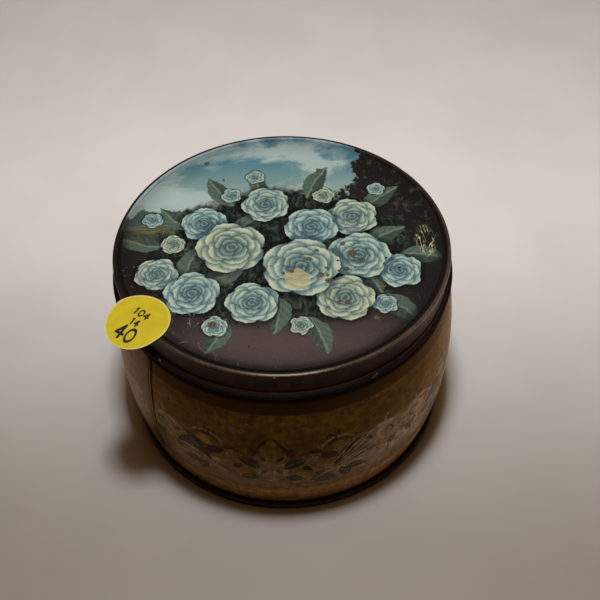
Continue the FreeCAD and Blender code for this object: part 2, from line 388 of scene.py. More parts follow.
def makeCamera():
    data = bpy.data.cameras.new("viewCamera")
    data.lens = viewing["lens"]
    data.clip_start = viewing["clipStart"]
    camera = bpy.data.objects.new("viewCamera", data)
    bpy.context.scene.collection.objects.link(camera)
    turn = Matrix.Rotation(math.radians(-viewing["yaw"]), 4, "Z")
    tip = Matrix.Rotation(math.radians(90 - viewing["pitch"]), 4, "X")
    lean = Matrix.Rotation(math.radians(viewing["roll"]), 4, "Z")
    camera.matrix_world = Matrix.Translation(viewing["place"]) @ turn @ tip @ lean
    bpy.context.scene.camera = camera


lampTarget = (0, 0, 0.05)
lamps = {
    # name: (place, size, watts, colour), each facing the target
    "overhead": ((0.008, -0.047, 0.64), (0.075, 0.075), 2.92, (0.92, 0.99, 1.06)),
    "warmFill": ((0.008, -0.047, 0.66), (0.24, 0.24), 0.92, (1.0, 0.66, 0.34)),
    "backGlow": ((0.0, 0.66, 0.90), (0.40, 0.26), 0.05, (0.96, 0.88, 1.0)),
}
worldLight = {"colour": (1.0, 0.51, 0.22), "strength": 0.066}


def makeLight():
    for name, (place, size, watts, colour) in lamps.items():
        data = bpy.data.lights.new(name, "AREA")
        data.shape = "RECTANGLE"
        data.size, data.size_y = size
        data.energy = watts
        data.color = colour
        lamp = bpy.data.objects.new(name, data)
        bpy.context.scene.collection.objects.link(lamp)
        lamp.location = place
        lamp.rotation_euler = (Vector(lampTarget) - Vector(place)).to_track_quat("-Z", "Y").to_euler()
    world = bpy.data.worlds.new("studio")
    world.use_nodes = True
    back = world.node_tree.nodes["Background"]
    back.inputs[0].default_value = (*worldLight["colour"], 1)
    back.inputs[1].default_value = worldLight["strength"]
    bpy.context.scene.world = world
    print("made camera and lamps")


floorLook = {"width": 6.0, "near": (0.268, 0.238, 0.210), "far": (0.87, 0.842, 0.825),
             "nearEdge": -110, "farEdge": 150, "slant": 0.10, "roughness": 0.6, "cloudScale": 0.02,
             "clouds": (0.97, 1.03)}


def makeFloor():
    bm = bmesh.new()
    bmesh.ops.create_grid(bm, x_segments=1, y_segments=1, size=floorLook["width"] / 2)
    mesh = bpy.data.meshes.new("floor")
    bm.to_mesh(mesh)
    bm.free()
    floor = bpy.data.objects.new("floor", mesh)
    bpy.context.scene.collection.objects.link(floor)
    material, wires, shader, point = newMaterial("paleTable")
    look = floorLook
    toRight, toBack, level = wires.split(point)
    # painted light: the floor is painted darker towards the front and a little to the left, as the lamp's
    # falloff; clouds vary its tone at random
    depth = wires.fade(wires.scaled(toRight, look["slant"], toBack), look["nearEdge"], look["farEdge"])
    cloudy = wires.fade(wires.noise(point, look["cloudScale"], 3), 0.3, 0.7, *look["clouds"])
    colour = wires.shade(wires.blend(depth, look["near"], look["far"]), cloudy)
    wires.feed(colour, shader.inputs["Base Color"])
    shader.inputs["Roughness"].default_value = look["roughness"]
    mesh.materials.append(material)
    print("made floor")


# Lid: a picture panel inside a groove, and the rolled rim, side wall and rolled lower edge round it.
lidLow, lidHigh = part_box("lid")
lidSizes = {
    "rollRadius": 1.3 * mm, "groove": 0.8 * mm, "drop": 0.4 * mm, "skirtInset": 0.7 * mm, "sheet": 0.5 * mm,
    "edgeProud": 2.0 * mm, "edgeHeight": 4.1 * mm, "edgeCrest": 2.7 * mm, "edgeLip": 0.3 * mm,
    "chamferDown": 0.1 * mm, "chamferIn": 0.15 * mm, "steps": 720,
    "panelRings": (0.66, 0.33, 0),  # shares of the panel's radius
}
lidTop, lidEdge = lidHigh.z, lidLow.z
edgeRollRadius = (lidHigh.x - lidLow.x) / 2
skirtRadius = edgeRollRadius - lidSizes["edgeProud"]
rimRadius = skirtRadius + lidSizes["skirtInset"]
panelRadius = rimRadius - 2 * lidSizes["rollRadius"] - lidSizes["groove"]
grooveFloor = lidTop - lidSizes["rollRadius"]
grooveMiddle = panelRadius + lidSizes["groove"] / 2


# azimuth, distance from the axis, height, reach and depth of each nick, in mm
lidNicks = ((-94, 66.9, 87.9, 1.6, 0.30), (-134, 68.2, 78.6, 1.8, 0.35), (-62, 68.3, 77.6, 2.4, 0.25),
            (38, 67.0, 87.8, 2.2, 0.22))
lidWave = 0.10 * mm
rimWaves = ((0.28, 5, 0.7), (0.22, 13, 2.1))  # share, waves round the rim, phase


def nickPlace(azimuth, along, up):
    return along * math.cos(math.radians(azimuth)), along * math.sin(math.radians(azimuth)), up


def makeLidShell(materials):
    s = lidSizes
    roll, rollAcross = s["rollRadius"], rimRadius - s["rollRadius"]
    inner = skirtRadius - s["sheet"]
    edgeMiddle = lidEdge + s["edgeCrest"]
    pen = OutlinePen(grooveMiddle, grooveFloor)
    pen.line(grooveMiddle, grooveFloor - s["sheet"])
    pen.line(inner, grooveFloor - s["sheet"])
    pen.line(inner, lidEdge)
    lip = (skirtRadius + s["edgeLip"], lidEdge)
    crest = (edgeRollRadius, edgeMiddle)
    top = (skirtRadius, lidEdge + s["edgeHeight"])
    pen.line(*lip)
    pen.arc(arcMiddle(lip, crest, edgeMiddle), edgeMiddle, *crest, arcSteps["lidEdge"])
    pen.arc(arcMiddle(crest, top, edgeMiddle), edgeMiddle, *top, arcSteps["lidEdge"])
    tuck = math.sqrt(roll ** 2 - (roll - s["skirtInset"]) ** 2)
    pen.line(skirtRadius, grooveFloor - tuck)
    pen.arc(rollAcross, grooveFloor, rollAcross - roll, grooveFloor, arcSteps["bead"])
    pen.line(grooveMiddle, grooveFloor)
    bm = pen.spun(s["steps"])
    for azimuth, along, up, reach, depth in lidNicks:
        spot = Vector(nickPlace(azimuth, along, up)) * mm
        for vert in bm.verts:
            near = (vert.co - spot).length / (reach * mm)
            if near < 1:
                push = depth * mm * (1 - near ** 2) ** 2
                vert.co -= Vector((vert.co.x, vert.co.y, 0)).normalized() * push
    for vert in bm.verts:
        # hand-worn rims are never quite round
        angle = math.atan2(vert.co.y, vert.co.x)
        wave = 0.5 + sum(share * math.sin(waves * angle + phase) for share, waves, phase in rimWaves)
        across = math.hypot(vert.co.x, vert.co.y)
        pull = 1 - lidWave * wave / across
        vert.co.x *= pull
        vert.co.y *= pull
    return finishPiece(bm, "lid_shell", "lid", materials)


def makeLidPanel(materials):
    s = lidSizes
    lift = lidTop - s["drop"]
    pen = OutlinePen(0, lift - s["sheet"])
    pen.line(panelRadius - s["sheet"], lift - s["sheet"])
    pen.line(grooveMiddle - s["sheet"], grooveFloor - s["sheet"])
    pen.line(grooveMiddle, grooveFloor - s["sheet"])
    pen.line(grooveMiddle, grooveFloor)
    pen.line(panelRadius, lift - s["chamferDown"])
    # a narrow ring next to the chamfer keeps the panel's shading flat
    for across in (panelRadius - s["chamferIn"], panelRadius - 2 * s["chamferIn"],
                   *(panelRadius * share for share in s["panelRings"])):
        pen.line(across, lift)
    return finishPiece(pen.spun(), "lid_picture", "lid", materials)


# Lid metal: dark bronze lacquer, with a painted highlight of bright tinplate along the front of the rim.
metalLook = {
    "beadFront": (0.052, 0.037, 0.026), "beadRight": (0.060, 0.045, 0.036),
    "beadBack": (0.016, 0.013, 0.0115), "beadLeft": (0.013, 0.010, 0.008),
    "beadInner": (0.0105, 0.0070, 0.0045), "bright": (0.34, 0.29, 0.23),
    # side wall colour by azimuth: warm black at the front, lilac brown on the right as a painted reflection
    "wall": ((-180, (0.030, 0.022, 0.018)), (-132, (0.060, 0.040, 0.031)), (-112, (0.026, 0.0095, 0.0050)),
             (-88, (0.024, 0.0085, 0.0036)), (-70, (0.034, 0.0150, 0.0085)), (-50, (0.085, 0.050, 0.039)),
             (-34, (0.25, 0.175, 0.150)), (-16, (0.19, 0.138, 0.118)), (4, (0.075, 0.052, 0.042)),
             (25, (0.030, 0.021, 0.017)), (180, (0.030, 0.022, 0.018))),
    "rusty": (0.085, 0.026, 0.012), "crease": (0.11, 0.056, 0.032), "creaseRight": (0.42, 0.32, 0.28),
    "roll": (0.0070, 0.0032, 0.0030), "rollCrestSheen": (0.014, 0.0105, 0.0135), "bare": (0.26, 0.23, 0.20),
    # azimuths in degrees
    "frontAzimuth": -89.0, "frontHalf": (3, 17), "rightSpan": (-52, -34, -16, 0), "blocksFade": (-80, -55),
    # marks in mm, their turn in radians
    "chips": {"Spacing": 6.5, "Size": 0.60, "Share": 0.14},
    "scratches": {"Turn": 0.05, "Spacing": 0.8, "Length": 14.0, "Fineness": 0.05, "Share": 0.5},
    "uniform": {"Specular IOR Level": 0.13, "Specular Tint": (1.0, 0.90, 0.78)},
}
# where marks lie, in mm: in from the rim, down from the lid's top, or up from its lower edge
metalPlaces = {
    "bandIn": 0.65, "crestIn": 0.75, "outerIn": 1.3, "printIn": (1.95, 1.55), "outerDown": (0.70, 0.25),
    "tuckDown": 2.7, "beadDown": (2.7, 2.3), "creaseUp": (4.8, 6.8), "blocksUp": 7.6, "rollCrestUp": 3.0,
}


def makeRimMetal():
    look, places = metalLook, metalPlaces
    rim, top, low = rimRadius / mm, lidTop / mm, lidEdge / mm
    rollTop = (lidEdge + lidSizes["edgeHeight"]) / mm
    material, wires, shader, point = newMaterial("rimMetal")
    x, y, z = wires.split(point)
    flat = wires.join(x, y, 0)
    reach = wires.length(flat)
    azimuth = wires.degrees(x, y)
    fine = wires.noise(point, 0.9, 4, 0.6)
    patchy = wires.noise(point, 0.14, 3)
    toRight, toBack, level = wires.split(wires.vector("NORMALIZE", flat))
    # bead: painted light and shade by azimuth, lightest at the front, dull at the back and nearly black on
    # the left
    bead = wires.coats(
        look["beadFront"],
        (wires.fade(toBack, -0.75, 0.25), look["beadBack"]),
        (wires.fade(toRight, 0.35, 0.90), look["beadRight"]),
        (wires.fade(toRight, -0.90, -0.45, 1, 0), look["beadLeft"]))
    bead = wires.shade(bead, wires.fade(wires.mixed(fine, 0.5, patchy), 0.36, 0.64, 0.62, 1.25))
    # painted light: the band that faces up is lighter than the side towards the picture
    onBand = wires.near(reach, rim - places["bandIn"], 0.30, 1.05)
    bead = wires.blend(onBand, look["beadInner"], bead)
    # painted highlight: the crest is painted bright along the front, broken up by noise
    crest = wires.near(reach, rim - places["crestIn"], 0.05, 0.38)
    front = wires.near(azimuth, look["frontAzimuth"], *look["frontHalf"])
    lightened = wires.times(crest, front, wires.fade(fine, 0.34, 0.56, 0.35, 0.9))
    bead = wires.blend(lightened, bead, look["bright"])
    # side wall: one colour all the way up to the bead, with rusty blocks and a painted reflection on the
    # right side
    turned = wires.scaled(azimuth, 1 / 360, 0.5)
    skirt = wires.ramp(turned, *((place / 360 + 0.5, tone) for place, tone in look["wall"]))
    skirt = wires.shade(skirt, wires.fade(wires.mixed(fine, 0.6, patchy), 0.40, 0.60, 0.66, 1.30))
    squares = wires.noise(wires.join(wires.times(azimuth, 0.16), 0, 0), 1, 0)
    inRow = wires.near(z, low + places["blocksUp"], 2.2, 2.8)
    blocks = wires.times(wires.fade(squares, 0.53, 0.58, 0, 0.55), inRow,
                         wires.fade(azimuth, *look["blocksFade"], 1, 0.2))
    skirt = wires.blend(blocks, skirt, look["rusty"])
    # the tuck under the bead is drawn halfway to the crease colour; the crease above the lower roll is
    # painted lighter as painted light, and on the right it carries a painted reflection
    skirt = wires.blend(wires.near(z, top - places["tuckDown"], 0.2, 1.1, 0.5), skirt, look["crease"])
    crease = wires.blend(wires.band(azimuth, *look["rightSpan"]), look["crease"], look["creaseRight"])
    creaseUp = [low + up for up in places["creaseUp"]]
    skirt = wires.blend(wires.fade(z, *creaseUp, 0.85, 0), skirt, crease)
    outerSide = wires.times(wires.fade(z, *(top - down for down in places["outerDown"]), 1, 0),
                            wires.calc("GREATER_THAN", reach, rim - places["outerIn"]))
    bead = wires.blend(outerSide, bead, skirt)
    # at the back the picture runs on up the inner side of the bead
    printed = wires.times(wires.fade(toBack, 0.05, 0.40),
                          wires.fade(reach, *(rim - inwards for inwards in places["printIn"]), 0.85, 0))
    bead = wires.blend(printed, bead, paintLandscape(wires, flat, pictureLook))
    onBead = wires.fade(z, *(top - down for down in places["beadDown"]))
    onRoll = wires.fade(z, rollTop - 0.1, rollTop + 0.4, 1, 0)
    lower = wires.blend(onRoll, skirt, look["roll"])
    # painted highlight: a bluish sheen along the crest of the lower roll, broken up by noise
    rollCrest = wires.near(z, low + places["rollCrestUp"], 0.1, 0.9)
    lower = wires.blend(wires.times(rollCrest, onRoll, wires.fade(fine, 0.40, 0.66, 0.1, 0.9)), lower,
                        look["rollCrestSheen"])
    # bare metal in chips below the bead, and in the nicks
    nicked = 0.0
    for place, along, up, spread, depth in lidNicks:
        away = wires.vector("DISTANCE", point, nickPlace(place, along, up), out="Value")
        ragged = wires.scaled(fine, 0.8, away)
        nicked = wires.most(nicked, wires.fade(ragged, 0.5, spread * 0.8, 0.8, 0))
    chips = wires.group("speckles", Point=point, **look["chips"])
    bare = wires.most(wires.times(chips["Mask"], 0.7, wires.minus(1, onBead)), nicked)
    colour = wires.blend(bare, wires.blend(onBead, lower, bead), look["bare"])
    dull = wires.fade(z, rollTop, rollTop + 2.0, 0.40, 0.0)
    roughness = wires.plus(wires.fade(fine, 0.3, 0.7, 0.32, 0.44), dull)
    scratches = wires.group("hairlines", Point=wires.join(azimuth, z, 0), **look["scratches"])
    height = wires.scaled(scratches["Mask"], -0.05, wires.times(fine, 0.05))
    wires.finish(shader, look, colour, roughness, height, Metallic=wires.times(bare, 0.4))
    return material


# Lid print: roses and leaves on dark ground, before a landscape with woods on the right.
pictureLook = {
    "skyTop": (0.060, 0.165, 0.225), "skyLow": (0.27, 0.35, 0.32), "cloud": (0.33, 0.42, 0.43),
    "hills": (0.055, 0.085, 0.085), "meadow": (0.046, 0.050, 0.036), "meadowLit": (0.12, 0.125, 0.075),
    "ground": (0.016, 0.0125, 0.0125), "groundFront": (0.064, 0.046, 0.048),
    "woods": (0.012, 0.0105, 0.010), "woodsLit": (0.050, 0.062, 0.048), "trunk": (0.085, 0.085, 0.065),
    "leafDark": (0.014, 0.022, 0.020), "leafLit": (0.085, 0.13, 0.105), "leafRib": (0.17, 0.22, 0.17),
    "margin": (0.0120, 0.0085, 0.0075), "groove": (0.010, 0.008, 0.007), "varnish": (1.0, 0.985, 0.90),
    "petals": ((0.0, (0.018, 0.027, 0.031)), (0.30, (0.058, 0.098, 0.112)), (0.55, (0.145, 0.212, 0.225)),
               (0.80, (0.27, 0.34, 0.32)), (1.0, (0.40, 0.45, 0.37))),
    "tints": ((0.80, 0.97, 1.08), (1.08, 1.0, 0.84)),
    "bedDark": (0.0075, 0.0100, 0.0085), "bedLit": (0.036, 0.052, 0.040),
    # places in mm, from the middle of the lid
    "horizon": 17.0, "skyHigh": 54, "meadowUp": (13.5, 16.5), "groundUp": (2, 12), "frontUp": (-44, -22),
    "woodsEdge": (5, 7), "woodsUp": (-8, 4), "backFade": (-10, 30), "bedPlace": (0, -5), "bedReach": (52, 37),
    "bedEdge": (1.16, 1.30),  # shares of the bed's reach
    # mm in from the panel's edge
    "shadeIn": 12, "marginIn": (3.0, -0.2), "grooveIn": (0.5, 0.1), "chamferIn": (0.45, 0.25),
    "shadeLevel": 0.70, "brushSway": 2.6,
    "uniform": {"Specular IOR Level": 0.10},
}
# x, y, size, turn in degrees, tint from 0 blue to 1 cream: back ones first
blooms = (
    (-10, 40, 4.0, 10, 0.4), (-52, 16, 4.2, 60, 0.1), (40, 30, 3.8, 100, 0.5), (18, 27, 4.6, 30, 0.9),
    (-20, 29, 4.2, 140, 0.3), (-43, 2, 5.0, 15, 0.9), (38, -34, 4.6, 70, 0.2),
    (-26, -42, 5.0, 20, 0.4), (6, -43, 4.4, 110, 0.7), (-31, 13, 9.5, 20, 0.1), (29, 14, 10.5, 75, 0.75),
    (-6, 23, 10.0, 140, 0.45), (45, -17, 9.0, 10, 0.25), (-49, -14, 8.5, 50, 0.65), (12, 9, 11.0, 200, 0.15),
    (-20, -1, 14.0, 5, 0.85), (30, -8, 12.5, 100, 0.4), (-35, -25, 11.0, 160, 0.25),
    (23, -30, 11.5, 250, 0.95), (-12, -31, 10.5, 80, 0.5), (7, -13, 15.5, 33, 0.6))
# x, y, length, width, turn in degrees
leaves = ((-57, 3, 20, 9, 160), (-47, -33, 24, 10, 216), (-25, 31, 22, 9, 122), (15, 36, 22, 9, 64),
          (-9, 35, 18, 8, 96), (41, 25, 22, 9, 42), (56, -9, 20, 9, -12), (44, -36, 22, 10, -44),
          (13, -48, 20, 9, -72), (-25, -47, 20, 9, 246), (-14, 12, 20, 9, 36), (19, 0, 20, 9, 140),
          (-36, -8, 20, 9, 70), (41, 3, 20, 9, 28), (-2, -38, 20, 9, -100), (-44, 16, 18, 8, 130),
          (34, -21, 18, 8, -60), (-24, -17, 20, 9, 200))
outerPetals = 5
petalRings = (  # radius, petals, start
    (1.0, outerPetals, 0.0), (0.84, 5, 0.35), (0.66, 4, 0.75), (0.48, 4, 0.2), (0.31, 3, 0.6), (0.16, 2, 0.1))


def paintLandscape(wires, flat, look):
    x, y, z = wires.split(flat)
    broad = wires.noise(wires.place(flat, scale=(0.030, 0.050, 1)), 1, 4, 0.55)
    fine = wires.noise(flat, 0.35, 4, 0.6)
    height = wires.plus(y, wires.scaled(broad, 14, -7))
    sky = wires.blend(wires.fade(height, look["horizon"], look["skyHigh"]), look["skyLow"], look["skyTop"])
    billow = wires.noise(wires.place(flat, (3.1, 1.4, 0), scale=(0.034, 0.058, 1)), 1, 5, 0.58, 0.6)
    sky = wires.blend(wires.fade(billow, 0.44, 0.60, 0, 0.85), sky, look["cloud"])
    crown = wires.noise(wires.place(flat, scale=(0.11, 0.03, 1)), 1, 4, 0.62)
    ridge = wires.plus(look["horizon"], wires.scaled(crown, 22, -8))
    colour = wires.blend(wires.fade(wires.minus(y, ridge), -0.7, 0.7, 1, 0), sky, look["hills"])
    streak = wires.noise(wires.place(flat, scale=(0.03, 0.28, 1)), 1, 3)
    meadow = wires.blend(wires.fade(streak, 0.45, 0.66), look["meadow"], look["meadowLit"])
    # towards the front the ground is lighter and lilac: partly the print's own foreground, partly a painted
    # reflection of the gloss on the lid's front
    front = wires.blend(wires.fade(wires.plus(y, wires.times(broad, 18)), *look["frontUp"], 1, 0),
                        look["ground"], look["groundFront"])
    for ragged, up, below in ((3, look["meadowUp"], meadow), (6, look["groundUp"], front)):
        colour = wires.blend(wires.fade(wires.plus(y, wires.times(fine, ragged)), *up, 1, 0), colour, below)
    # woods on the right: crowns against the sky, with trunks and dabs of lit leaves
    outline = wires.noise(wires.place(flat, scale=(0.05, 0.06, 1)), 1, 5, 0.65)
    edge = wires.plus(x, wires.scaled(outline, -40, wires.times(y, -0.10)))
    wooded = wires.times(wires.fade(edge, *look["woodsEdge"]), wires.fade(y, *look["woodsUp"]))
    dabs = wires.fade(wires.noise(wires.place(flat, scale=(0.30, 0.22, 1)), 1, 4, 0.7), 0.52, 0.72)
    trunkWave = wires.noise(wires.place(flat, (0, 0, 2), turn=-14, scale=(0.17, 0.022, 1)), 1, 2)
    trees = wires.blend(dabs, look["woods"], look["woodsLit"])
    trees = wires.blend(wires.fade(trunkWave, 0.62, 0.72, 0, 0.55), trees, look["trunk"])
    colour = wires.blend(wooded, colour, trees)
    # a bed of small dark foliage behind the flowers
    bed = wires.vector("SUBTRACT", flat, (*look["bedPlace"], 0))
    bed = wires.length(wires.vector("DIVIDE", bed, (*look["bedReach"], 1)))
    ragged = wires.scaled(wires.noise(flat, 0.16, 4, 0.6), 0.5, bed)
    sprays = wires.noise(wires.place(flat, turn=28, scale=(0.34, 0.16, 1)), 1, 3, 0.6, 1.5)
    foliage = wires.blend(wires.fade(sprays, 0.44, 0.66), look["bedDark"], look["bedLit"])
    return wires.blend(wires.fade(ragged, *look["bedEdge"], 1, 0), colour, foliage)


def paintLeaves(wires, flat, look, colour):
    for x, y, length, width, turn in leaves:
        leaf = wires.group("leafAt", Point=flat, Centre=(x, y, 0), Turn=math.radians(turn), Length=length,
                           Width=width)
        green = wires.blend(leaf["Light"], look["leafDark"], look["leafLit"])
        green = wires.blend(wires.times(leaf["Rib"], 0.6), green, look["leafRib"])
        colour = wires.blend(leaf["Mask"], colour, green)
        flat = leaf["Onward"]
    return colour, flat


def paintBlooms(wires, flat, look, colour):
    own, shade = (0, 0, -1), 1.0
    for x, y, size, turn, tint in blooms:
        laid = wires.group("bloomAt", Point=flat, Centre=(x, y, 0), Size=size, Turn=math.radians(turn),
                           Tint=tint, Own=own, Shade=shade)
        own, shade, flat = laid["Own"], laid["Shade"], laid["Onward"]
    along, across, tint = wires.split(own)
    reach = wires.length(wires.join(along, across, 0))
    turns = wires.times(wires.calc("ARCTAN2", across, along), 1 / (2 * math.pi))
    light = 0.5
    for radius, petals, start in petalRings:
        begin = wires.scaled(tint, 1.7 * (1.0 - radius), start) if radius < 1 else start
        light = wires.group("petalRing", Reach=reach, Turns=turns, Radius=radius, Petals=petals, Start=begin,
                            Light=light)["Light"]
    # brush marks that fan out from a sunk heart
    fanned = wires.noise(wires.join(wires.times(turns, 26), wires.times(reach, 2.6),
                                    wires.times(tint, 40)), 1, 3, 0.6)
    brushed = wires.noise(wires.place(flat, turn=35, scale=(0.7, 0.22, 1)), 1, 3)
    strokes = wires.scaled(fanned, 0.55, wires.scaled(brushed, 0.45, 0.54))
    sunk = wires.fade(reach, 0.05, 0.75, 0.62, 1.0)
    light = wires.times(light, shade, wires.times(strokes, sunk))
    petals = wires.ramp(light, *look["petals"])
    cool, warm = look["tints"]
    petals = wires.blend(1.0, petals, wires.blend(tint, cool, warm), "MULTIPLY")
    shadowed = wires.shade(colour, shade)
    return wires.blend(wires.calc("GREATER_THAN", tint, -0.5), shadowed, petals)


lidWear = {
    "pinhole": (0.010, 0.008, 0.007), "rust": (0.140, 0.100, 0.042), "rustDark": (0.040, 0.029, 0.016),
    "stain": (0.40, 0.35, 0.17), "scribble": (0.50, 0.46, 0.25), "scuff": (0.20, 0.21, 0.20),
    "chipPlace": (27, -15), "chipReach": (4, 27), "stainPlace": (5.5, -19.5), "stainEdge": (4.5, 5.0),
    "scribblePlace": (57.0, -1.5), "scribbleReach": (4.4, 9.5), "scuffLeft": (-26, -12), "scuffUp": (-36, 20),
    "chips": {"Spacing": 3.4, "Size": 1.9}, "cores": {"Spacing": 3.4, "Size": 1.45},
    "holes": {"Spacing": 5.0, "Size": 0.62, "Share": 0.42},
    # scratches: turn in degrees, spacing, length, fineness, share
    "scribbles": ((-98, 1.2, 15.0, 0.032, 0.60), (-70, 1.9, 13.0, 0.024, 0.55)),
    "scuffs": ((-22, 2.6, 9.0, 0.020, 0.40), (80, 3.2, 9.0, 0.018, 0.38)),
}


def crossedLines(wires, flat, pair):
    masks = [wires.group("hairlines", Point=flat, Turn=math.radians(turn), Spacing=spacing, Length=length,
                         Fineness=fineness, Share=share)["Mask"]
             for turn, spacing, length, fineness, share in pair]
    return wires.most(*masks)


def paintLidWear(wires, flat, wear, colour):
    x, y, z = wires.split(flat)
    # a pale yellow blot with five uneven sides
    away = wires.vector("SUBTRACT", flat, (*wear["stainPlace"], 0))
    ax, ay, az = wires.split(away)
    fifth = wires.calc("WRAP", wires.plus(wires.calc("ARCTAN2", ay, ax), 0.35), math.pi / 5, -math.pi / 5)
    flatSide = wires.times(wires.length(away), wires.calc("COSINE", fifth))
    uneven = wires.scaled(wires.noise(flat, 0.5, 3), 1.2, -0.6)
    blot = wires.fade(wires.plus(flatSide, uneven), *wear["stainEdge"], 0.62, 0.0)
    colour = wires.blend(blot, colour, wear["stain"])
    # rusty chips, thickest on the right of the front
    away = wires.length(wires.vector("SUBTRACT", flat, (*wear["chipPlace"], 0)))
    share = wires.fade(away, *wear["chipReach"], 0.42, 0.02)
    chips = wires.group("speckles", Point=flat, Share=share, **wear["chips"])
    colour = wires.blend(wires.times(chips["Mask"], 0.9), colour, wear["rustDark"])
    cores = wires.group("speckles", Point=flat, Share=share, **wear["cores"])
    rust = wires.blend(wires.fade(wires.noise(flat, 1.4, 3), 0.40, 0.62), wear["rust"], wear["rustDark"])
    colour = wires.blend(wires.times(cores["Mask"], 0.9), colour, rust)
    holes = wires.group("speckles", Point=flat, **wear["holes"])
    colour = wires.blend(holes["Mask"], colour, wear["pinhole"])
    # scribbled scratches down to the pale primer
    away = wires.vector("SUBTRACT", flat, (*wear["scribblePlace"], 0))
    away = wires.length(wires.vector("DIVIDE", away, (*wear["scribbleReach"], 1)))
    lines = wires.times(crossedLines(wires, flat, wear["scribbles"]), wires.fade(away, 0.75, 1.05, 1, 0))
    colour = wires.blend(wires.times(lines, 0.85), colour, wear["scribble"])
    # grey scuffs on the left, and hairlines all over
    leftSide = wires.times(wires.fade(x, *wear["scuffLeft"], 1, 0), wires.fade(y, *wear["scuffUp"], 1, 0.15))
    marks = wires.times(crossedLines(wires, flat, wear["scuffs"]), wires.scaled(leftSide, 0.55, 0.10))
    colour = wires.blend(marks, colour, wear["scuff"])
    damage = wires.most(wires.most(chips["Mask"], holes["Mask"]), lines)
    return colour, damage, marks


def makePicturePrint():
    look = pictureLook
    edge = panelRadius / mm
    material, wires, shader, point = newMaterial("picturePrint")
    x, y, z = wires.split(point)
    flat = wires.join(x, y, 0)
    sway, back = (look["brushSway"],) * 2, (-look["brushSway"] / 2,) * 2
    brushed = wires.vector("MULTIPLY_ADD", wires.noise(flat, 0.28, 3, out="Color"), (*sway, 0),
                           wires.vector("ADD", flat, (*back, 0)))
    colour = paintLandscape(wires, brushed, look)
    colour, brushed = paintLeaves(wires, brushed, look, colour)
    colour = paintBlooms(wires, brushed, look, colour)
    colour = wires.shade(colour, wires.fade(wires.noise(flat, 2.4, 3), 0.3, 0.7, 0.90, 1.10))
    # the print darkens towards its edge, least at the back
    reach = wires.length(flat)
    colour = wires.shade(colour, wires.fade(reach, edge - look["shadeIn"], edge, 1.0, look["shadeLevel"]))
    colour = wires.blend(1.0, colour, look["varnish"], "MULTIPLY")
    atFront = wires.fade(y, *look["backFade"], 1.0, 0.12)
    margin = wires.fade(wires.scaled(wires.noise(flat, 0.25, 3), 1.6, reach),
                        *(edge - inwards for inwards in look["marginIn"]), 0, 0.86)
    colour = wires.blend(wires.times(margin, atFront), colour, look["margin"])
    colour, damage, marks = paintLidWear(wires, flat, lidWear, colour)
    inGroove = wires.fade(reach, *(edge - inwards for inwards in look["grooveIn"]))
    colour = wires.blend(wires.times(inGroove, atFront), colour, look["groove"])
    onChamfer = wires.fade(reach, *(edge - inwards for inwards in look["chamferIn"]), 0, 0.6)
    dull = wires.plus(wires.times(wires.plus(damage, marks), 0.35), onChamfer)
    roughness = wires.plus(wires.fade(wires.noise(flat, 0.12, 4), 0.35, 0.7, 0.34, 0.46), dull)
    height = wires.scaled(damage, -0.12, wires.times(wires.noise(flat, 0.045, 2), 0.3))
    wires.finish(shader, look, colour, roughness, height)
    return material


# Body: a barrel with a rounded shoulder and a neck under the lid, and a lapped seam up its side.
bodyLow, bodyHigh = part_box("tin_body")
bodySizes = {"bellyUp": 40.0 * mm, "shoulderInset": 0.5 * mm, "shoulderRound": 2.0 * mm,
             "shoulderGap": 0.3 * mm, "footInset": 1.4 * mm, "neckInset": 0.65 * mm, "neckRound": 0.6 * mm}
seamSizes = {"proud": 0.35 * mm, "root": 0.4 * mm, "degrees": 3.6, "azimuth": -141.0, "steps": 6}
bellyRadius = (bodyHigh.y - bodyLow.y) / 2
shoulderRadius = edgeRollRadius - bodySizes["shoulderInset"]
footRadius = rimRadius - bodySizes["footInset"]
neckRadius = skirtRadius - bodySizes["neckInset"]


def drawWall(pen, out):
    # barrel wall from the foot, where the pen stands, to the top of the shoulder, moved out by a distance
    s = bodySizes
    top = lidEdge - s["shoulderGap"]
    start = top - s["shoulderRound"]
    foot = (footRadius + out, bodyLow.z)
    belly = (bellyRadius + out, s["bellyUp"])
    shoulder = (shoulderRadius + out, start)
    pen.arc(arcMiddle(foot, belly, s["bellyUp"]), s["bellyUp"], *belly, arcSteps["belly"])
    pen.arc(arcMiddle(belly, shoulder, s["bellyUp"]), s["bellyUp"], *shoulder, arcSteps["upperWall"])
    across = shoulder[0] - s["shoulderRound"]
    pen.arc(across, start, across, top, arcSteps["shoulder"])


def makeBody(materials):
    s = bodySizes
    pen = OutlinePen(0, bodyLow.z)
    pen.line(footRadius, bodyLow.z)
    drawWall(pen, 0)
    pen.line(neckRadius, lidEdge - s["shoulderGap"])
    across, up = neckRadius - s["neckRound"], bodyHigh.z - s["neckRound"]
    pen.line(neckRadius, up)
    pen.arc(across, up, across, bodyHigh.z, arcSteps["neck"])
    pen.line(0, bodyHigh.z)
    return finishPiece(pen.spun(), "body_shell", "tin_body", materials)


def makeSideSeam(materials):
    s = seamSizes
    pen = OutlinePen(footRadius + s["proud"], bodyLow.z)
    drawWall(pen, s["proud"])
    bm = pen.spun(s["steps"], s["degrees"], s["azimuth"] - s["degrees"] / 2)
    bmesh.ops.solidify(bm, geom=bm.faces[:], thickness=s["proud"] + s["root"])
    bmesh.ops.recalc_face_normals(bm, faces=bm.faces)
    return finishPiece(bm, "side_seam", "tin_body", materials)


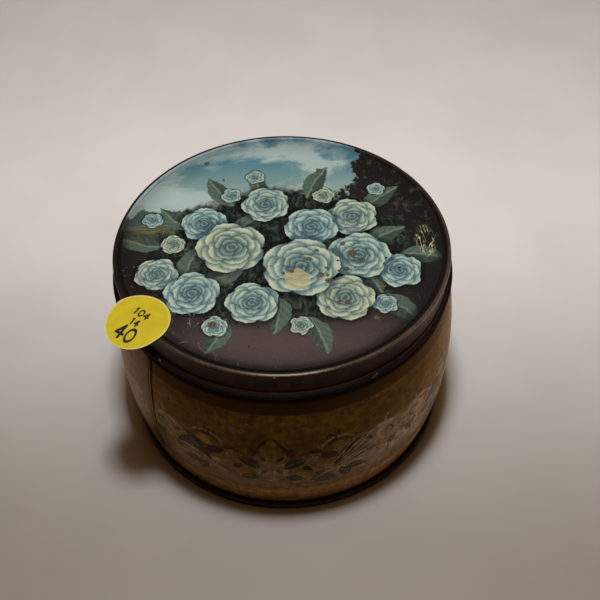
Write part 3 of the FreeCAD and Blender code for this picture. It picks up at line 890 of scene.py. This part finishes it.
# Body print: gold lacquer with a worn border of leaves and scrolls, the same on each quarter and nearly the
# same on both sides of its middle.
borderLook = {
    "repeat": 90.0, "middle": -96.0,  # degrees
    "gold": (0.125, 0.060, 0.009), "goldDark": (0.080, 0.037, 0.006), "low": (0.185, 0.105, 0.034),
    "mauve": (0.180, 0.112, 0.070), "foot": (0.40, 0.215, 0.068), "line": (0.26, 0.18, 0.075),
    "greenBlack": (0.004, 0.0042, 0.0045), "leafCore": (0.085, 0.080, 0.060),
    "redBrown": (0.034, 0.010, 0.008), "olive": (0.125, 0.090, 0.012), "violet": (0.011, 0.007, 0.015),
    "blueGrey": (0.030, 0.030, 0.036), "brown": (0.016, 0.007, 0.003), "pale": (0.27, 0.21, 0.115),
    "orange": (0.19, 0.078, 0.014),
    "smoke": (0.125, 0.130, 0.125), "lidShadow": (0.034, 0.0135, 0.0030), "yellow": (0.27, 0.185, 0.018),
    "rosy": (0.26, 0.150, 0.105), "flankSheen": (0.27, 0.16, 0.062), "lilac": (0.155, 0.112, 0.108),
    "lift": (0.55, 0.66, 1.30),  # painted light: how much red, green and blue the right flank gains
    # heights in mm
    "rings": ((17.2, 0.5), (5.6, 0.6)), "lowUp": (34, 52), "hazeUp": 23.5, "footUp": (15.5, 18.5),
    "borderUp": (23.0, 27.5, 44.0, 51.0), "baseUp": (3.0, 5.0), "lidShadowUp": (67.5, 68.3), "lilacUp": (40, 56),
    # azimuths in degrees, of a painted lilac sheen left of the seam and of painted light on the right flank
    "lilacSpan": (-178, -156, -141.5, -140), "litFlankSpan": (-90, -48, -8, 45),
    # distances across from the middle of the motif, in mm
    "fanPlace": (20.0, 30.0), "sidesOut": (31, 42), "traceryOut": (12, 24), "sway": 1.5,
    "darkSpecks": {"Spacing": 4.2, "Size": 0.65, "Share": 0.30},
    "paleSpecks": {"Spacing": 7.0, "Size": 0.65, "Share": 0.22},
    "uniform": {"Metallic": 0.65, "Specular IOR Level": 0.06, "Specular Tint": (1.0, 0.78, 0.55)},
}
# across from the middle, up, length, width, turn, colour at left and right, strength, lightness within
borderLeaves = (
    (33.0, 38.5, 22, 12, -25, "violet", "low", 0.95, 0.55),
    (36.5, 32.0, 15, 5, -38, "rosy", "pale", 0.60, 0),
    (20.5, 25.5, 12, 7, -8, "mauve", "blueGrey", 0.75, 0),
    (0.0, 47.5, 15, 9, 90, "olive", "olive", 0.60, 0),
    (3.6, 50.6, 11, 1.7, -56, "brown", "brown", 0.85, 0),
    (0.0, 37.0, 17, 1.3, 90, "brown", "brown", 0.75, 0), (0.0, 34.5, 19, 13, 90, "pale", "pale", 0.34, 0),
    (7.4, 45.6, 6.5, 4.0, 82, "redBrown", "redBrown", 0.85, 0),
    (8.9, 38.4, 10.8, 5.6, 32, "greenBlack", "greenBlack", 1.00, 0.35),
    (9.3, 27.5, 8.8, 4.8, -16, "greenBlack", "greenBlack", 1.00, 0.70),
    (13.8, 34.4, 5.4, 3.2, -40, "redBrown", "brown", 1.00, 0),
    (3.4, 41.6, 4.6, 1.8, 48, "brown", "brown", 0.90, 0),
    (3.2, 32.4, 4.8, 2.1, -52, "redBrown", "redBrown", 0.8, 0),
    (11.2, 31.2, 4.6, 2.2, 15, "orange", "yellow", 0.60, 0),
    (23.4, 34.2, 6.0, 3.2, -30, "pale", "orange", 0.65, 0),
    (23.2, 41.4, 9.6, 5.0, -24, "violet", "redBrown", 0.97, 0),
    (27.2, 46.2, 7.6, 6.0, 20, "yellow", "olive", 0.60, 0),
    (15.0, 57.0, 5.6, 2.8, 62, "smoke", "olive", 0.45, 0),
    (29.6, 26.2, 9.4, 5.0, -62, "violet", "greenBlack", 1.00, 0.45),
    (34.6, 28.6, 9.8, 5.4, -14, "greenBlack", "greenBlack", 1.00, 0.45),
    (40.5, 31.0, 10.0, 4.0, 28, "rosy", "rosy", 0.60, 0),
    (44.0, 24.6, 9.5, 4.2, -18, "pale", "rosy", 0.60, 0),
    (45.5, 40.0, 10.0, 5.0, 64, "pale", "low", 0.60, 0),
    (51.0, 34.0, 8.0, 4.4, -50, "violet", "blueGrey", 0.80, 0.60),
    (17.2, 45.4, 6.0, 2.6, -12, "brown", "brown", 0.80, 0),
    (30.5, 43.0, 7.5, 2.6, 58, "greenBlack", "brown", 0.95, 0),
    (26.5, 35.6, 7.0, 2.4, 66, "greenBlack", "redBrown", 0.95, 0),
    (39.5, 44.5, 7.0, 2.0, -48, "violet", "brown", 0.75, 0),
    (19.0, 30.2, 5.5, 2.4, 24, "redBrown", "violet", 0.75, 0),
    (41.5, 35.5, 6.5, 1.8, 12, "brown", "violet", 0.70, 0),
)
# across, up, radius, width, turn of its middle, half sweep, colour, strength
borderScrolls = (
    (22.0, 29.0, 7.0, 1.1, -70, 50, "greenBlack", 0.85), (31.5, 33.5, 5.0, 1.1, 190, 80, "violet", 0.85),
    (15.6, 36.4, 8.6, 1.2, 92, 36, "brown", 0.90), (26.8, 43.6, 6.6, 1.5, 100, 66, "brown", 0.85),
    (26.8, 43.6, 8.4, 1.3, 96, 58, "pale", 0.75), (46.0, 36.5, 12.0, 2.2, 104, 50, "pale", 0.85),
    (38.0, 33.0, 13.5, 1.3, 118, 40, "greenBlack", 0.80), (36.5, 20.5, 16.0, 1.4, 110, 42, "pale", 0.85),
    (34.0, 16.0, 18.0, 1.2, 108, 40, "mauve", 0.85), (31.0, 12.5, 19.0, 1.4, 104, 38, "pale", 0.65),
    (48.0, 43.0, 4.4, 1.6, 150, 150, "pale", 0.85), (48.4, 42.6, 2.3, 1.3, 30, 140, "brown", 0.85),
    (47.0, 36.0, 6.5, 1.5, -60, 70, "pale", 0.80), (52.0, 50.0, 5.0, 1.2, 200, 80, "pale", 0.65),
    (43.0, 50.5, 6.0, 1.2, -70, 60, "pale", 0.60), (23.4, 51.9, 1.75, 1.2, 60, 175, "redBrown", 0.97),
    (24.6, 54.8, 2.0, 0.9, 10, 70, "brown", 0.80), (56.0, 30.0, 7.0, 1.6, 120, 90, "brown", 0.70),
    (56.5, 29.0, 5.0, 1.4, 140, 100, "pale", 0.80),
)


def drawMotifs(wires, look, mirrored, right, keep, colour):
    for away, up, length, width, turn, atLeft, atRight, strength, lit in borderLeaves:
        leaf = wires.group("leafAt", Point=mirrored, Centre=(away, up, 0), Turn=math.radians(turn),
                           Length=length, Width=width)
        paint = look[atLeft] if atLeft == atRight else wires.blend(right, look[atLeft], look[atRight])
        if lit:
            core = wires.blend(leaf["Light"], paint, look["leafCore"])
            paint = wires.blend(wires.most(leaf["Outline"], 1 - lit), core, paint)
            paint = wires.blend(wires.times(leaf["Rib"], 0.25), paint, look["pale"])
        colour = wires.blend(wires.times(leaf["Mask"], wires.times(keep, strength)), colour, paint)
        mirrored = leaf["Onward"]
    for away, up, radius, width, turn, sweep, tone, strength in borderScrolls:
        stroke = wires.group("arcStroke", Point=mirrored, Centre=(away, up, 0), Turn=math.radians(turn),
                             Radius=radius, Width=width, Sweep=math.radians(sweep))
        colour = wires.blend(wires.times(stroke["Mask"], wires.times(keep, strength)), colour, look[tone])
        mirrored = stroke["Onward"]
    return colour, mirrored


def makeLeafBorder():
    look = borderLook
    perDegree = math.pi / 180 * bellyRadius / mm
    material, wires, shader, point = newMaterial("leafBorder")
    x, y, z = wires.split(point)
    azimuth = wires.degrees(x, y)
    half = look["repeat"] / 2
    local = wires.calc("WRAP", wires.minus(azimuth, look["middle"]), half, -half)
    across = wires.times(local, perDegree)
    outwards = wires.calc("ABSOLUTE", across)
    right = wires.calc("GREATER_THAN", across, 0)
    sway, back = (look["sway"],) * 2, (-look["sway"] / 2,) * 2
    mirrored = wires.vector("MULTIPLY_ADD", wires.noise(point, 0.45, 3, out="Color"), (*sway, 0),
                            wires.vector("ADD", wires.join(outwards, z, 0), (*back, 0)))
    broad = wires.noise(point, 0.055, 4, 0.6)
    fine = wires.noise(point, 0.75, 4, 0.65)
    tiny = wires.noise(point, 2.6, 2)
    # colour in bands, lighter from the gold above down to the pale foot
    colour = wires.coats(
        wires.blend(wires.fade(broad, 0.36, 0.64), look["goldDark"], look["gold"]),
        (wires.fade(wires.scaled(broad, 10, z), *look["lowUp"], 0.75, 0), look["low"]),
        (wires.near(z, look["hazeUp"], 2.0, 8.0, 0.7), look["mauve"]),
        (wires.fade(wires.plus(fine, z), *look["footUp"], 1, 0), look["foot"]),
        *((wires.near(z, up, width / 2, width, 0.6), look["line"]) for up, width in look["rings"]))
    keep = wires.fade(wires.mixed(fine, 0.5, broad), 0.30, 0.50, 0.84, 1.0)
    # faint tracery and stains of old colour behind the motifs, all along the border
    inBorder = wires.band(z, *look["borderUp"])
    stains = wires.noise(wires.place(mirrored, (4.1, 8.3, 0)), 0.11, 3, 0.6)
    contour = wires.times(wires.noise(mirrored, 0.15, 1, 0.5, 0.9), 8.0)
    paleLines = wires.fade(wires.calc("PINGPONG", contour, 0.5), 0.04, 0.12, 0.60, 0)
    darkLines = wires.fade(wires.calc("PINGPONG", wires.plus(contour, 0.17), 0.5), 0.03, 0.09, 0.80, 0)
    drawn = wires.times(inBorder, wires.fade(outwards, *look["traceryOut"], 0.15, 1), keep)
    colour = wires.coats(
        colour,
        (wires.times(inBorder, wires.fade(stains, 0.52, 0.64, 0, 0.55)), look["rosy"]),
        (wires.times(inBorder, wires.fade(stains, 0.36, 0.47, 0.55, 0)), look["olive"]),
        (wires.times(inBorder, wires.fade(outwards, *look["sidesOut"], 0, 0.58)), look["pale"]),
        (wires.times(paleLines, drawn), look["pale"]),
        (wires.times(darkLines, drawn), look["brown"]))
    colour, mirrored = drawMotifs(wires, look, mirrored, right, keep, colour)
    # a fan of fine hatching on the right of the motif
    fan = wires.vector("SUBTRACT", mirrored, (*look["fanPlace"], 0))
    fx, fy, fz = wires.split(fan)
    fanAngle = wires.calc("ARCTAN2", fy, fx)
    rays = wires.calc("SINE", wires.times(fanAngle, 46))
    inFan = wires.times(wires.near(wires.length(fan), 16, 5, 9), wires.near(fanAngle, 0.62, 0.30, 0.48))
    hatched = wires.times(inFan, right, keep)
    colour = wires.coats(
        colour,
        (wires.times(hatched, wires.fade(rays, 0.1, 0.8, 0, 0.6)), look["brown"]),
        (wires.times(hatched, wires.fade(rays, -0.9, -0.3, 0.45, 0)), look["pale"]))
    # mottled age and specks
    clouds = wires.noise(wires.place(point, (9, 2, 4), scale=(1, 1, 1.6)), 0.24, 3, 0.6)
    streaks = wires.noise(wires.join(wires.times(azimuth, 0.55), wires.times(z, 0.10), 0), 1, 3, 0.6)
    mottle = [wires.fade(*levels) for levels in (
        (fine, 0.32, 0.68, 0.81, 1.19), (tiny, 0.3, 0.7, 0.90, 1.10), (clouds, 0.34, 0.66, 0.70, 1.24),
        (streaks, 0.34, 0.66, 0.84, 1.14))]
    colour = wires.shade(colour, wires.times(*mottle))
    dark = wires.group("speckles", Point=point, **look["darkSpecks"])["Mask"]
    light = wires.group("speckles", Point=wires.place(point, (31, 17, 5)), **look["paleSpecks"])["Mask"]
    # then the side seam's bare strip with its dark edge, a darker band just above the base ring, a painted
    # shadow under the lid's rolled edge, and a painted lilac sheen left of the seam
    offSeam = wires.times(wires.minus(azimuth, seamSizes["azimuth"]), perDegree)
    lilac = wires.times(wires.band(azimuth, *look["lilacSpan"]), wires.fade(z, *look["lilacUp"], 0, 0.60))
    colour = wires.coats(
        colour,
        (wires.times(dark, 0.7), look["brown"]),
        (wires.times(light, 0.6), look["pale"]),
        (wires.near(offSeam, 0, 1.7, 2.1, 0.8), wires.blend(fine, look["goldDark"], look["low"])),
        (wires.near(offSeam, 0.9, 0.25, 0.7, 0.85), look["brown"]),
        (wires.fade(z, *look["baseUp"], 0.8, 0), look["brown"]),
        (wires.fade(wires.scaled(fine, 0.6, z), *look["lidShadowUp"], 0, 0.88), look["lidShadow"]),
        (lilac, look["lilac"]))
    # painted light: the right flank is painted paler, with a painted sheen over it
    litFlank = wires.band(azimuth, *look["litFlankSpan"])
    lift = wires.join(*(wires.scaled(litFlank, more, 1.0) for more in look["lift"]))
    colour = wires.blend(1.0, colour, lift, "MULTIPLY")
    colour = wires.blend(wires.times(litFlank, 0.05), colour, look["flankSheen"])
    roughness = wires.plus(wires.fade(fine, 0.3, 0.7, 0.27, 0.42), wires.times(dark, 0.3))
    height = wires.plus(wires.times(fine, 0.05), wires.times(dark, -0.06))
    wires.finish(shader, look, colour, roughness, height)
    return material


# Base end: the seam ring the tin stands on, round a raised base with a stiffening bead.
baseLow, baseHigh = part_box("base_end")
baseSizes = {"ringWidth": 3.2 * mm, "rounding": 0.6 * mm, "sheet": 0.5 * mm, "beadInset": 19.6 * mm,
             "beadWidth": 5.0 * mm, "beadRise": 4.0 * mm}


def makeBase(materials):
    s = baseSizes
    outer = (baseHigh.x - baseLow.x) / 2
    inner = outer - s["ringWidth"]
    r, high, ringSteps = s["rounding"], baseHigh.z, arcSteps["baseRing"]
    under = high - s["sheet"]
    bead = footRadius - s["beadInset"]
    pen = OutlinePen(0, under)
    pen.line(bead - s["beadWidth"] / 2, under)
    pen.arc(bead, under + s["beadRise"], bead + s["beadWidth"] / 2, under, arcSteps["underBead"])
    pen.line(inner, under)
    pen.line(inner, r)
    pen.arc(inner + r, r, inner + r, 0, ringSteps)
    pen.line(outer - r, 0)
    pen.arc(outer - r, r, outer, r, ringSteps)
    pen.line(outer, high - r)
    pen.arc(outer - r, high - r, outer - r, high, ringSteps)
    pen.line(0, high)
    return finishPiece(pen.spun(), "base_ring", "base_end", materials)


# Base metal: black lacquer with rubbed, rusty edges.
baseLook = {
    "lacquer": (0.0085, 0.0060, 0.0058), "rust": (0.060, 0.024, 0.011), "rubbed": (0.050, 0.042, 0.040),
    "crestUp": 2.5, "floorUp": (0.1, 0.35),  # mm
    "uniform": {"Specular IOR Level": 0.35},
}


def makeBaseMetal():
    look = baseLook
    material, wires, shader, point = newMaterial("baseMetal")
    x, y, z = wires.split(point)
    fine = wires.noise(point, 0.6, 4, 0.65)
    rust = wires.fade(wires.noise(point, 0.22, 5, 0.7), 0.52, 0.68, 0, 0.8)
    edge = wires.times(wires.near(z, look["crestUp"], 0.1, 0.7), wires.fade(fine, 0.46, 0.66, 0, 0.6))
    lightened = wires.times(wires.fade(z, *look["floorUp"], 1, 0), wires.fade(fine, 0.40, 0.60, 0, 0.8))
    bare = wires.most(edge, lightened)
    colour = wires.coats(look["lacquer"], (rust, look["rust"]), (edge, look["rubbed"]),
                         (lightened, look["rubbed"]))
    roughness = wires.fade(fine, 0.3, 0.7, 0.30, 0.55)
    wires.finish(shader, look, colour, roughness, wires.times(rust, 0.1), 0.4, Metallic=bare)
    return material


# Paper dot: a thin disc, flat on the lid as far as the crest of the rim and bent down past it.
dotSizes = {"radius": 12.5 * mm, "thickness": 0.15 * mm, "inset": 0.35 * mm, "bendRadius": 7.0 * mm,
            "droop": 14.0, "azimuth": -145.5, "segments": 128, "rings": 16}
dotReach = rimRadius - dotSizes["inset"]
dotTurn = math.radians(dotSizes["azimuth"])
dotCentre = Vector((dotReach * math.cos(dotTurn), dotReach * math.sin(dotTurn), lidTop))


def makeDot(materials):
    s = dotSizes
    bm = bmesh.new()
    bmesh.ops.create_circle(bm, cap_ends=True, segments=s["segments"], radius=s["radius"])
    for ring in range(s["rings"]):
        bmesh.ops.inset_region(bm, faces=[max(bm.faces, key=lambda face: len(face.verts))],
                               thickness=s["radius"] / (s["rings"] + 1), use_even_offset=True)
    bend = s["inset"] - lidSizes["rollRadius"]
    curve = s["bendRadius"]
    full = math.radians(s["droop"])
    for vert in bm.verts:
        past = vert.co.x - bend
        if past > 0:
            turned = min(past / curve, full)
            straight = past - turned * curve
            vert.co.x = bend + curve * math.sin(turned) + straight * math.cos(turned)
            vert.co.z = curve * (math.cos(turned) - 1) - straight * math.sin(turned)
    bmesh.ops.translate(bm, verts=bm.verts, vec=(0, 0, s["thickness"]))
    bmesh.ops.recalc_face_normals(bm, faces=bm.faces)
    if sum(face.normal.z for face in bm.faces) < 0:
        bmesh.ops.reverse_faces(bm, faces=bm.faces)
    bmesh.ops.solidify(bm, geom=bm.faces[:], thickness=s["thickness"])
    turnAbout(bm, dotTurn)
    bmesh.ops.translate(bm, verts=bm.verts, vec=dotCentre)
    bmesh.ops.recalc_face_normals(bm, faces=bm.faces)
    return finishPiece(bm, "dot_sticker", "paper_dot", materials)


# Dot paper: matte yellow, with three short rows of plain numbers and soft fibres.
paperLook = {"yellow": (0.49, 0.39, 0.008), "yellowDeep": (0.44, 0.335, 0.007), "edge": (0.62, 0.55, 0.30),
             "ink": (0.010, 0.007, 0.005), "turn": 39.0, "roundness": (1.55, 1, 1), "edgeIn": (0.9, 0.5),
             "uniform": {"Specular IOR Level": 0.25}}
paperFigures = (
    # figure, right and up to its middle, height, line width
    ("1", -3.3, 3.6, 2.9, 0.70), ("0", -0.9, 3.6, 2.9, 0.65), ("4", 1.7, 3.6, 2.9, 0.70),
    ("1", -1.3, -1.0, 2.6, 0.72), ("4", 0.8, -1.0, 2.6, 0.72),
    ("4", -2.5, -6.3, 5.4, 1.15), ("0", 2.1, -6.3, 5.4, 1.05),
)
figureStrokes = {
    "1": (((0.0, -0.5), (0.0, 0.5)), ((0.0, 0.5), (-0.16, 0.34))),
    "4": (((0.10, -0.5), (0.10, 0.5)), ((0.10, 0.5), (-0.30, -0.18)), ((-0.30, -0.18), (0.30, -0.18))),
    "0": (),
}


def makeStroke():
    # a straight stroke with round ends, from one point to another
    wires, point, begin, end, width = newGroup("stroke", "Point From To Width", "Mask")
    along = wires.vector("SUBTRACT", end, begin)
    away = wires.vector("SUBTRACT", point, begin)
    part = wires.calc("DIVIDE", wires.vector("DOT_PRODUCT", away, along, out="Value"),
                      wires.vector("DOT_PRODUCT", along, along, out="Value"), clamp=True)
    nearest = wires.node("ShaderNodeVectorMath", {0: along, "Scale": part}, operation="SCALE").outputs[0]
    gap = wires.minus(wires.vector("DISTANCE", away, nearest, out="Value"), wires.times(width, 0.5))
    return wires.give(Mask=wires.fade(gap, -0.10, 0.10, 1, 0))


def makeDotPaper():
    look = paperLook
    material, wires, shader, point = newMaterial("dotPaper")
    fibre = wires.noise(point, 1.1, 4, 0.6)
    cloud = wires.noise(point, 0.16, 3)
    colour = wires.blend(wires.fade(cloud, 0.35, 0.65), look["yellowDeep"], look["yellow"])
    moved = wires.vector("SUBTRACT", point, (dotCentre.x / mm, dotCentre.y / mm, 0))
    along, across, up = wires.split(wires.turned(moved, math.radians(look["turn"])))
    page = wires.join(along, across, 0)
    ink = 0.0
    for figure, right, high, tall, width in paperFigures:
        middle = Vector((right, high, 0))
        for begin, end in figureStrokes[figure]:
            stroke = wires.group("stroke", Point=page, From=middle + Vector((*begin, 0)) * tall,
                                 To=middle + Vector((*end, 0)) * tall, Width=width)
            ink = wires.most(ink, stroke["Mask"])
        if figure == "0":
            loop = wires.vector("MULTIPLY", wires.vector("SUBTRACT", page, middle), look["roundness"])
            ink = wires.most(ink, wires.near(wires.length(loop), tall / 2, width / 2, width / 2 + 0.2))
    colour = wires.blend(wires.times(ink, wires.fade(fibre, 0.2, 0.5, 0.92, 1.0)), colour, look["ink"])
    edge = dotSizes["radius"] / mm
    cut = wires.fade(wires.length(page), *(edge - inwards for inwards in look["edgeIn"]), 0, 0.4)
    colour = wires.blend(cut, colour, look["edge"])
    wires.finish(shader, look, colour, wires.fade(fibre, 0.3, 0.7, 0.55, 0.75), wires.times(fibre, 0.04), 0.3)
    return material


makeCamera()
makeLight()
makeFloor()
groups = {"speckles": makeSpeckles(), "hairlines": makeHairlines(), "leafAt": makeLeafAt(),
          "arcStroke": makeArcStroke(), "bloomAt": makeBloomAt(), "petalRing": makePetalRing(),
          "stroke": makeStroke()}
print("made node groups")
border = makeLeafBorder()
makeLidShell([makeRimMetal()])
makeLidPanel([makePicturePrint()])
makeBody([border])
makeSideSeam([border])
makeBase([makeBaseMetal()])
makeDot([makeDotPaper()])

bpy.context.scene.view_settings.view_transform = "Standard"
